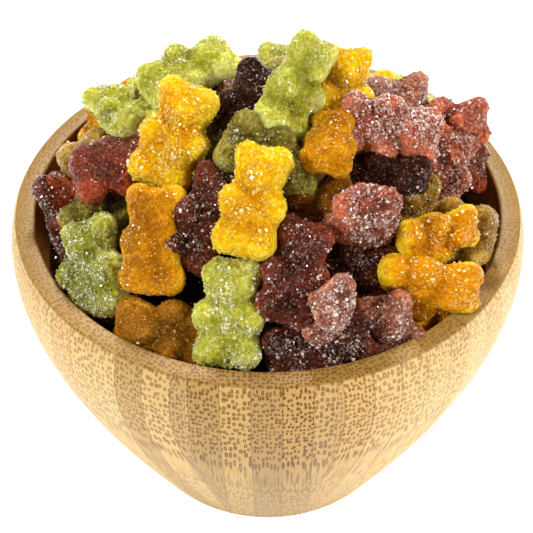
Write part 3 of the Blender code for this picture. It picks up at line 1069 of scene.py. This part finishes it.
@dataclass(frozen=True)
class BearForm:
    """A cast gummy bear 24 mm tall: X runs across, Y from the feet to the head, Z back to belly.

    The surface is where melted lobes meet the air. Each lobe's distance is its scaled radius
    less one, times its smallest radius; a soft minimum joins the lobes, and a soft maximum
    with a plane makes the flat back.

    Attributes:
        lobes: The ellipsoids that melt together.
        middle: The point that a bear is placed and turned by.
        heart: The point inside that the skin is seen from.
        melt: How softly the lobes join, in millimetres.
        back: Height of the flat back.
        spread: How far apart the rays lie along each axis, against even ones.
        farthest: Radius in millimetres that holds the whole form, round its heart.
        nearest: Radius in millimetres that lies inside it.
    """

    lobes: tuple[Lobe, ...] = (
        Lobe((0.0, -2.6, 4.5), (6.9, 7.8, 4.6)),
        Lobe((0.0, -8.7, 4.6), (5.6, 3.4, 4.3)),
        Lobe((0.0, 6.2, 5.0), (6.1, 5.0, 4.7)),
        Lobe((0.0, 4.6, 9.0), (2.5, 2.0, 2.1)),
        Lobe((4.2, 9.2, 4.6), (2.9, 2.8, 2.9), True),
        Lobe((5.2, -0.8, 6.8), (3.0, 3.2, 3.4), True),
        Lobe((4.4, -8.6, 6.2), (3.4, 3.4, 4.5), True),
    )
    middle: tuple[float, float, float] = (0.0, 0.0, 5.8)
    heart: tuple[float, float, float] = (0.0, -0.6, 5.0)
    melt: float = 0.65
    back: float = 0.5
    spread: tuple[float, float, float] = (0.62, 1.0, 0.5)
    farthest: float = 18.0
    nearest: float = 0.5

    def outside(self, points: np.ndarray) -> np.ndarray:
        """How far points lie outside the form.

        Args:
            points: Places in millimetres, with the coordinates along the last axis.

        Returns:
            The distance of each in millimetres; negative is inside.
        """
        total = np.zeros(points.shape[:-1])
        for lobe in self.lobes:
            radii = np.array(lobe.radii)
            for side in (1, -1) if lobe.mirrored else (1,):
                offset = (points - np.array(lobe.centre) * (side, 1, 1)) / radii
                away = (np.linalg.norm(offset, axis=-1) - 1) * radii.min()
                total += np.exp(-np.clip(away, -24, 24) / self.melt)
        joined = -self.melt * np.log(total)
        behind = self.back - points[..., 2]
        return self.melt * np.logaddexp(joined / self.melt, behind / self.melt)

    def directions(self, detail: int) -> tuple[np.ndarray, np.ndarray]:
        """Directions through the grid points of a cube's six sides, with its faces.

        Args:
            detail: Number of faces along a side's edge.

        Returns:
            Unit directions, one a row, and the four corners of each face.
        """
        line = np.tan(np.linspace(-1, 1, detail + 1) * np.pi / 4)
        u, v = np.meshgrid(line, line, indexing="ij")
        sides = []
        for axis, sign in itertools.product(range(3), (1, -1)):
            side = np.empty((*u.shape, 3))
            side[..., axis] = sign
            side[..., (axis + 1) % 3] = sign * u
            side[..., (axis + 2) % 3] = v
            sides.append(side)
        points = np.array(sides).reshape(-1, 3)
        grid = np.arange(len(points)).reshape(6, detail + 1, detail + 1)
        corners = (grid[:, :-1, :-1], grid[:, 1:, :-1], grid[:, 1:, 1:], grid[:, :-1, 1:])
        quads = np.stack(corners, axis=-1).reshape(-1, 4)
        _, first, merged = np.unique(np.round(points, 6), axis=0, return_index=True, return_inverse=True)
        points = points[first] * self.spread
        return points / np.linalg.norm(points, axis=1)[:, None], merged.reshape(-1)[quads]

    def fullness(self, skin: np.ndarray, reach: float = 4.5, count: int = 90) -> np.ndarray:
        """How much of a small ball about each point lies inside: half on a flat, less on an edge.

        The ball's surface is sampled along an even spiral of directions.

        Args:
            skin: Points on the skin in millimetres.
            reach: Radius of the ball.
            count: Number of samples.

        Returns:
            The share for each point, from 0 to 1.
        """
        height = 1 - (2 * np.arange(count) + 1) / count
        turn = np.arange(count) * math.pi * (3 - math.sqrt(5))
        flat = np.sqrt(1 - height**2)
        ball = reach * np.stack([flat * np.cos(turn), flat * np.sin(turn), height], axis=1)
        return np.mean([self.outside(skin + step) < 0 for step in ball], axis=0)

    def shell(self, detail: int) -> tuple[np.ndarray, np.ndarray, np.ndarray]:
        """The bear's skin, found along rays from its heart by a scan inwards and then halving.

        Args:
            detail: Number of faces along each edge of the cube that the rays come from.

        Returns:
            Points in millimetres, the four corners of each face, and the outward normals.
        """
        rays, quads = self.directions(detail)
        heart = np.array(self.heart)
        reach = np.linspace(self.farthest, self.nearest, 90)
        inside = self.outside(heart + rays[:, None] * reach[:, None]) < 0
        hit = np.argmax(inside, axis=1)
        low, high = reach[hit], reach[np.maximum(hit - 1, 0)]
        for _ in range(24):
            half = (low + high) / 2
            within = self.outside(heart + rays * half[:, None]) < 0
            low, high = np.where(within, half, low), np.where(within, high, half)
        skin = heart + rays * low[:, None]
        step = 1e-3 * np.eye(3)
        slopes = [self.outside(skin + axis) - self.outside(skin - axis) for axis in step]
        normals = np.stack(slopes, axis=1)
        return skin, quads, normals / np.linalg.norm(normals, axis=1)[:, None]


@dataclass(frozen=True)
class Unevenness:
    """How a bear departs from the cast form, in millimetres where nothing else is said.

    Attributes:
        bend: Usual curl towards back or belly, for each millimetre along the bear.
        lean: Usual curl to one side, for each millimetre along the bear.
        plump: Usual difference in girth, as a share.
        swell: Height of the broad lumps.
        swell_size: Spacing of the broad lumps.
        crust: Height of the crust's grains where no sugar lies.
        frosted_crust: What full frost adds to that height.
        crust_size: Spacing of the crust's grains.
        grit: Height of the finer grains.
        grit_size: Spacing of the finer grains.
        level: Height on a grain, from 0 to 1, that lies on the smooth form.
    """

    bend: float = 0.0035
    lean: float = 0.0025
    plump: float = 0.02
    swell: float = 0.35
    swell_size: float = 6.0
    crust: float = 0.28
    frosted_crust: float = 0.25
    crust_size: float = 1.25
    grit: float = 0.2
    grit_size: float = 0.8
    level: float = 0.45


@dataclass
class SweetHeap:
    """The heap of gummy bears over a smaller dark core, whose darkness is painted shade, with the sugar on
    them.

    Attributes:
        bowl: The bowl that the sweets lie in.
        form: The cast form of a bear.
        uneven: How bears depart from it.
        detail: Faces along each edge of the cube behind a bear's skin.
        wall_gap: Least distance from a sweet to the bowl in millimetres.
        core_top: Height of the core's middle over the rim.
        core_edge: Radius of the core's edge.
        core_drop: Depth of that edge under the rim.
        heart_drop: Depth under the rim of the point that outwards is counted from.
        fine_crystals: Number of small sugar crystals.
        coarse_crystals: Number of large sugar crystals.
        node: The solid that the heap stands for.
    """

    bowl: BambooBowl
    form: BearForm = BearForm()
    uneven: Unevenness = Unevenness()
    detail: int = 29
    wall_gap: float = 0.3
    core_top: float = 17.0
    core_edge: float = 48.0
    core_drop: float = 14.0
    heart_drop: float = 32.0
    fine_crystals: int = 24900
    coarse_crystals: int = 4500
    node: str = "gummy_bear_heap"
    rng: np.random.Generator = field(default_factory=lambda: np.random.default_rng(11))

    def build(self) -> list[bpy.types.Object]:
        """All pieces of the heap.

        Returns:
            The core, the bears of each flavour, and the sugar.
        """
        skin, quads, normals = self.form.shell(self.detail)
        full = self.form.fullness(skin)
        faces = np.concatenate([quads + k * len(skin) for k in range(len(BEARS))])
        made = [self.build_core()]
        all_points, all_frost, owners = [], [], []
        for flavour in Flavour:
            members = [number for number, bear in enumerate(BEARS) if bear.flavour is flavour]
            bears = [self.sugared_bear(number, skin, normals, full) for number in members]
            points, depth, frost = (np.concatenate(values) for values in zip(*bears))
            jelly = JELLIES[flavour].material(f"jelly_{flavour.value}")
            own_faces = faces[: len(bears) * len(quads)]
            piece = make_piece(
                f"bears_{flavour.value}", points, [own_faces], jelly, self.node
            )
            paint(piece, "depth", depth)
            paint(piece, "frost", frost)
            LOG.info("%s: %d bears, %d faces", piece.name, len(bears), len(own_faces))
            made.append(piece)
            all_points.append(points)
            all_frost.append(frost)
            owners += members
        owner = np.repeat(owners, len(skin))
        sugar = Sugar(np.concatenate(all_points), faces, np.concatenate(all_frost), owner)
        made += sugar.build(self)
        return made

    def sugared_bear(
        self, number: int, skin: np.ndarray, normals: np.ndarray, full: np.ndarray
    ) -> tuple[np.ndarray, np.ndarray, np.ndarray]:
        """One bear in its place, a little different from its neighbours.

        The form is bent along its length and swollen by soft noise, then grains of two sizes
        lift it along its normals where sugar lies. Its colour is painted light and shade: deeper
        where more jelly lies behind the surface, as seen from outside the heap, and in hollows,
        and paler where little lies behind, as if light shone through.

        Args:
            number: The bear's place in the list.
            skin: Points of the cast form.
            normals: Its outward normals.
            full: Its fullness at each point.

        Returns:
            Points in millimetres, and the depth of colour and the frost at each.
        """
        bear = BEARS[number]
        uneven = self.uneven
        seed = 100 * number
        rng = np.random.default_rng(seed)
        bend, lean, plump = rng.normal(0.0, 1.0, 3) * (uneven.bend, uneven.lean, uneven.plump)
        shape = skin.copy()
        shape[:, 2] += bend * skin[:, 1] ** 2
        shape[:, 0] += lean * skin[:, 1] ** 2
        shape[:, 0] *= bear.girth + plump
        shape += uneven.swell * soft_noise(skin, uneven.swell_size, seed)[:, None] * normals
        outwards = bear.middle(0.0) + (0.0, 0.0, self.heart_drop)
        outwards = outwards @ bear.axes() / np.linalg.norm(outwards)
        behind = [self.form.outside(skin - outwards * deep) < 0 for deep in np.linspace(0.8, 8.8, 11)]
        thick = np.mean(behind, axis=0)
        clumps = soft_noise(skin, 3.2, seed + 1) + 0.6 * soft_noise(skin, 1.5, seed + 2)
        frost = np.clip(bear.frost * (1.05 + 0.9 * clumps) * (0.45 + 0.75 * thick), 0, 1)
        crust = uneven.crust + uneven.frosted_crust * frost
        lift = crust * (grains(skin, uneven.crust_size, seed + 3) - uneven.level)
        lift += uneven.grit * (grains(skin, uneven.grit_size, seed + 7) - uneven.level)
        shape += lift[:, None] * normals
        middle = np.array(self.form.middle)
        world = (shape - middle) * bear.size @ bear.axes().T + bear.middle(self.bowl.height)
        # Painted light and shade: paler where little jelly lies behind, as if lit through, deeper where it is
        # thick and in hollows, on top of the bear's depth.
        depth = np.clip(bear.depth * (0.35 + 0.8 * thick) + 0.3 * (thick - 0.5) + 0.6 * (full - 0.40), 0, 1)
        return self.clear_of_bowl(world), depth, frost

    def clear_of_bowl(self, points: np.ndarray) -> np.ndarray:
        """Points drawn in where they would enter the bowl.

        A point in the wall is drawn to the inner wall, and one just under the rim is lifted.

        Args:
            points: Places in millimetres, one a row.

        Returns:
            The same points, clear of the bowl.
        """
        wall = self.bowl.inner_wall()
        away = np.hypot(points[:, 0], points[:, 1])
        limit = np.interp(points[:, 2], wall[:, 1], wall[:, 0]) - self.wall_gap
        sunk = (points[:, 2] < self.bowl.height) & (away > limit)
        near_top = sunk & (self.bowl.height - points[:, 2] < away - limit)
        moved = points.copy()
        moved[near_top, 2] = self.bowl.height + self.wall_gap
        pressed = sunk & ~near_top
        moved[pressed, :2] *= (limit[pressed] / away[pressed])[:, None]
        return moved

    def build_core(self) -> bpy.types.Object:
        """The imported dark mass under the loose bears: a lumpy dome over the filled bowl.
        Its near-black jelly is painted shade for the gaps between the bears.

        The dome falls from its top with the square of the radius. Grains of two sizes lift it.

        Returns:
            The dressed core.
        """
        share = np.linspace(0.0, 1.0, 40)[1:]
        rise = self.core_top - (self.core_top + self.core_drop) * share**2
        dome = np.stack([self.core_edge * share, self.bowl.height + rise], axis=1)
        wall = self.bowl.inner_wall()[::-1]
        low = wall[(wall[:, 1] < self.bowl.height - self.core_drop - 2) & (wall[:, 0] > 3)]
        side = low - (2.0, -2.0)
        profile = np.concatenate([dome, side])
        turns = np.linspace(0.0, 2 * np.pi, 180, endpoint=False)
        grid = turned_grid(profile, turns)
        ends = np.array([[0, 0, self.bowl.height + self.core_top], [0, 0, self.bowl.floor + 2.0]])
        points = np.concatenate([grid.reshape(-1, 3), ends])
        upper = np.clip((points[:, 2] - self.bowl.height + self.core_drop) / 6.0, 0, 1)
        lumps = 3.0 * grains(points, 13.0, 5) + 0.5 * grains(points, 1.4, 6)
        points[:, 2] += upper * (lumps - 2.6)
        number = np.arange(grid.shape[0] * grid.shape[1]).reshape(grid.shape[:2])
        following = np.roll(number, -1, axis=1)
        quads = np.stack([number[:-1], number[1:], following[1:], following[:-1]], axis=-1).reshape(-1, 4)
        top = np.full(len(turns), number.size)
        top_fan = np.stack([top, number[0], following[0]], axis=1)
        low_fan = np.stack([top + 1, following[-1], number[-1]], axis=1)
        # Painted shade: the core takes the darkest jelly at depth 0.9, so the gaps between bears read as deep
        # shade.
        jelly = JELLIES[Flavour.DARK].material("dark_core_painted_shade")
        core = make_piece(
            "heap_core", points, [quads, top_fan, low_fan], jelly, self.node
        )
        paint(core, "depth", np.full(len(points), 0.9))
        paint(core, "frost", np.full(len(points), 0.05))
        LOG.info("core: %d faces", len(core.data.polygons))
        return core


@dataclass
class Sugar:
    """Loose sugar crystals scattered on the bears.

    Attributes:
        points: Corners of all bears in millimetres.
        quads: The faces of all bears.
        frost: How much sugar lies at each corner.
        owner: Number of the bear that each corner belongs to.
        fine_sizes: Least and greatest radius of a small crystal in millimetres.
        coarse_sizes: Least and greatest radius of a large crystal.
        bear_reach: Square of a radius in millimetres that holds a whole bear, round its middle.
    """

    points: np.ndarray
    quads: np.ndarray
    frost: np.ndarray
    owner: np.ndarray
    fine_sizes: tuple[float, float] = (0.13, 0.27)
    coarse_sizes: tuple[float, float] = (0.22, 0.42)
    bear_reach: float = 190.0

    def build(self, heap: SweetHeap) -> list[bpy.types.Object]:
        """The small and the large crystals, one piece for each kind.

        Args:
            heap: The heap that they lie on.

        Returns:
            The two pieces.
        """
        a, b, c, d = (self.points[self.quads[:, k]] for k in range(4))
        normals = np.cross(c - a, d - b)
        areas = np.linalg.norm(normals, axis=1) / 2
        normals /= 2 * areas[:, None] + 1e-12
        frost, owner = self.frost[self.quads[:, 0]], self.owner[self.quads[:, 0]]
        coarse = np.array([bear.coarse for bear in BEARS])[owner]
        tint = np.array([bear.tint() for bear in BEARS])[owner]
        sugar = np.array([screen(JELLIES[bear.flavour].sugar) for bear in BEARS])[owner]
        material = self.material()
        fine_share = areas * (0.02 + frost**2)
        coarse_share = areas * coarse * (0.05 + frost**1.5)
        kinds = (
            ("sugar_fine", heap.fine_crystals, fine_share, self.fine_sizes, self.octahedron()),
            ("sugar_coarse", heap.coarse_crystals, coarse_share, self.coarse_sizes, self.block()),
        )
        made = []
        for name, count, weights, sizes, (template, faces) in kinds:
            chosen = heap.rng.choice(len(self.quads), size=3 * count, p=weights / weights.sum())
            s, t = heap.rng.random((2, len(chosen), 1))
            one_side = a[chosen] * (1 - s) + b[chosen] * s
            other_side = d[chosen] * (1 - s) + c[chosen] * s
            spots = one_side * (1 - t) + other_side * t
            open_air = self.exposed(heap, spots, owner[chosen])
            chosen, spots = chosen[open_air][:count], spots[open_air][:count]
            radius = heap.rng.uniform(*sizes, len(chosen))
            stretch = radius[:, None] * heap.rng.uniform(0.6, 1.15, (len(chosen), 3))
            turns = self.random_turns(heap.rng, len(chosen))
            corners = np.einsum("nij,nkj->nki", turns, template * stretch[:, None])
            corners += (spots + normals[chosen] * 0.25 * radius[:, None])[:, None]
            number = np.arange(len(chosen))[:, None, None] * len(template)
            points = heap.clear_of_bowl(corners.reshape(-1, 3))
            all_faces = (faces + number).reshape(-1, faces.shape[1])
            piece = make_piece(name, points, [all_faces], material, heap.node)
            piece.data.shade_flat()
            bright = heap.rng.random((len(chosen), 1)) < 0.12 + 0.45 * frost[chosen, None]
            clear = np.where(bright, 0.85, 0.12) * heap.rng.uniform(0.5, 1.0, (len(chosen), 1))
            colour = tint[chosen] * (1 - clear) + (0.35 + 0.65 * sugar[chosen]) * clear
            opaque = np.column_stack([colour, np.ones(len(colour))])
            paint(piece, "tint", np.repeat(opaque, len(template), axis=0))
            LOG.info("%s: %d crystals", name, len(chosen))
            made.append(piece)
        return made

    def exposed(self, heap: SweetHeap, spots: np.ndarray, owners: np.ndarray) -> np.ndarray:
        """Which places on the bears open to the air over the heap.

        A place counts unless it lies in another bear, or two of three steps outwards from it do.

        Args:
            heap: The heap.
            spots: Places in millimetres.
            owners: Number of the bear under each.

        Returns:
            True or False for each place.
        """
        rim = heap.bowl.height
        outwards = spots - (0.0, 0.0, rim - heap.heart_drop)
        outwards /= np.linalg.norm(outwards, axis=1)[:, None]
        blocked = np.zeros(len(spots))
        for distance in (0.0, 3.0, 7.0, 12.0):
            trial = spots + distance * outwards
            hidden = np.zeros(len(spots), bool)
            for number, bear in enumerate(BEARS):
                offset = trial - bear.middle(rim)
                near = (np.einsum("ij,ij->i", offset, offset) < self.bear_reach) & ~hidden
                near &= (owners != number) | (distance > 0)
                local = offset[near] @ bear.axes() / bear.size + heap.form.middle
                hidden[near] = heap.form.outside(local) < -0.15
            blocked += np.where(hidden, 4.0 if distance == 0 else 1.0, 0.0)
        return (blocked < 2) & (spots[:, 2] > rim - heap.core_drop)

    def random_turns(self, rng: np.random.Generator, count: int) -> np.ndarray:
        """Random rotations, each the matrix of a random unit quaternion.

        Args:
            rng: The source of random numbers.
            count: Number of rotations.

        Returns:
            One matrix of three rows for each.
        """
        w, x, y, z = self.unit_quaternions(rng, count)
        rows = [
            [1 - 2 * (y * y + z * z), 2 * (x * y - z * w), 2 * (x * z + y * w)],
            [2 * (x * y + z * w), 1 - 2 * (x * x + z * z), 2 * (y * z - x * w)],
            [2 * (x * z - y * w), 2 * (y * z + x * w), 1 - 2 * (x * x + y * y)],
        ]
        return np.moveaxis(np.array(rows), -1, 0)

    def unit_quaternions(self, rng: np.random.Generator, count: int) -> np.ndarray:
        """Four rows of the parts of random unit quaternions."""
        parts = rng.normal(size=(4, count))
        return parts / np.linalg.norm(parts, axis=0)

    def octahedron(self) -> tuple[np.ndarray, np.ndarray]:
        """A small crystal of radius one.

        Returns:
            Its six corners, and the corners of its eight faces.
        """
        points = np.array([(1, 0, 0), (-1, 0, 0), (0, 1, 0), (0, -1, 0), (0, 0, 1), (0, 0, -1)], float)
        faces = [(0, 2, 4), (2, 1, 4), (1, 3, 4), (3, 0, 4), (2, 0, 5), (1, 2, 5), (3, 1, 5), (0, 3, 5)]
        return points, np.array(faces)

    def block(self) -> tuple[np.ndarray, np.ndarray]:
        """A large crystal of radius about one, narrower on top.

        Returns:
            Its eight corners, and the corners of its six faces.
        """
        points = np.array(list(itertools.product((-1.0, 1.0), repeat=3))) * 0.8
        points[points[:, 2] > 0, :2] *= 0.72
        faces = [(0, 1, 3, 2), (4, 6, 7, 5), (0, 4, 5, 1), (2, 3, 7, 6), (0, 2, 6, 4), (1, 5, 7, 3)]
        return points, np.array(faces)

    def material(self) -> bpy.types.Material:
        """Clear sugar that takes a little of the jelly's colour.

        Returns:
            The material. It reads the attribute tint.
        """
        finish = Finish("sugar_crystal")
        finish.set("Base Color", finish.attribute("tint", "Color"))
        finish.set("Roughness", 0.1)
        finish.set("Subsurface Weight", 0.3)
        finish.set("Subsurface Radius", (0.001, 0.001, 0.001))
        finish.set("Subsurface Scale", 1.0)
        return finish.material


# ---------------------------------------------------------------- the studio


@dataclass(frozen=True)
class Softbox:
    """A square lamp that faces the middle of the heap.

    Attributes:
        azimuth: Where it stands, in degrees from the front towards +X.
        elevation: How high it stands, in degrees.
        distance: How far off, in metres.
        width: Length of its side in metres.
        power: Its power in watts.
    """

    azimuth: float
    elevation: float
    distance: float
    width: float
    power: float

    def build(self, target: Vector) -> None:
        """Add the lamp, turned to a place.

        Args:
            target: The place in metres.
        """
        azimuth, elevation = math.radians(self.azimuth), math.radians(self.elevation)
        level = math.cos(elevation)
        away = Vector((math.sin(azimuth) * level, -math.cos(azimuth) * level, math.sin(elevation)))
        data = bpy.data.lights.new("softbox", "AREA")
        data.energy = self.power
        data.size = self.width
        lamp = bpy.data.objects.new("softbox", data)
        lamp.location = target + away * self.distance
        lamp.rotation_euler = (-away).to_track_quat("-Z", "Y").to_euler()
        bpy.context.scene.collection.objects.link(lamp)


@dataclass(frozen=True)
class Studio:
    """Pale floor, soft lamps, white surroundings and the camera.

    Attributes:
        camera_place: Where the camera stands in metres.
        camera_dip: How far it looks down, in degrees.
        lens: Its focal length in millimetres on a 36 mm sensor.
        shift: Its sideways shift.
        surroundings: Brightness of the white around the scene.
        lamps: The softboxes.
    """

    camera_place: tuple[float, float, float] = (0.0, -0.22724, 0.27587)
    camera_dip: float = 43.95
    lens: float = 84.56
    shift: float = -0.0024
    surroundings: float = 0.14
    lamps: tuple[Softbox, ...] = (
        Softbox(-60.0, 38.0, 0.9, 0.16, 6.9),
        Softbox(72.0, 34.0, 0.9, 0.16, 6.8),
        Softbox(180.0, 48.0, 0.9, 0.18, 8.5),
    )

    def build(self, target: Vector) -> None:
        """Set up the whole studio.

        Args:
            target: The place in metres that the lamps face.
        """
        self.build_floor()
        self.build_camera()
        self.build_surroundings()
        for lamp in self.lamps:
            lamp.build(target)

    def build_floor(self) -> None:
        """A wide pale floor just under the foot."""
        mesh = bpy.data.meshes.new("floor")
        reach, drop = 2.5, -0.0001
        corners = [(-reach, -reach, drop), (reach, -reach, drop), (reach, reach, drop), (-reach, reach, drop)]
        mesh.from_pydata(corners, [], [(0, 1, 2, 3)])
        floor = bpy.data.objects.new("floor", mesh)
        bpy.context.scene.collection.objects.link(floor)
        finish = Finish("floor_white")
        finish.set("Base Color", (0.94, 0.94, 0.93))
        finish.set("Emission Color", (1.0, 1.0, 1.0))
        finish.set("Emission Strength", 0.35)
        finish.set("Roughness", 0.9)
        mesh.materials.append(finish.material)

    def build_camera(self) -> None:
        """The camera, which looks along +Y and down."""
        data = bpy.data.cameras.new("camera")
        data.sensor_width = 36.0
        data.lens = self.lens
        data.shift_x = self.shift
        data.clip_start = 0.01
        camera = bpy.data.objects.new("camera", data)
        camera.location = self.camera_place
        camera.rotation_euler = (math.radians(90.0 - self.camera_dip), 0.0, 0.0)
        bpy.context.scene.collection.objects.link(camera)
        bpy.context.scene.camera = camera

    def build_surroundings(self) -> None:
        """Even white light from all round, shown as it is."""
        world = bpy.data.worlds.new("surroundings")
        world.use_nodes = True
        background = world.node_tree.nodes["Background"]
        background.inputs["Color"].default_value = (1.0, 1.0, 1.0, 1.0)
        background.inputs["Strength"].default_value = self.surroundings
        bpy.context.scene.world = world
        bpy.context.scene.view_settings.view_transform = "Standard"


def main() -> None:
    """Build the bowl, the heap and the studio, in that order."""
    logging.basicConfig(level=logging.INFO, format="%(message)s")
    bowl = BambooBowl()
    bowl.build()
    SweetHeap(bowl).build()
    low, high = CAD_BOX
    Studio().build((Vector(low) + Vector(high)) / 2)


if __name__ == "__main__":
    main()
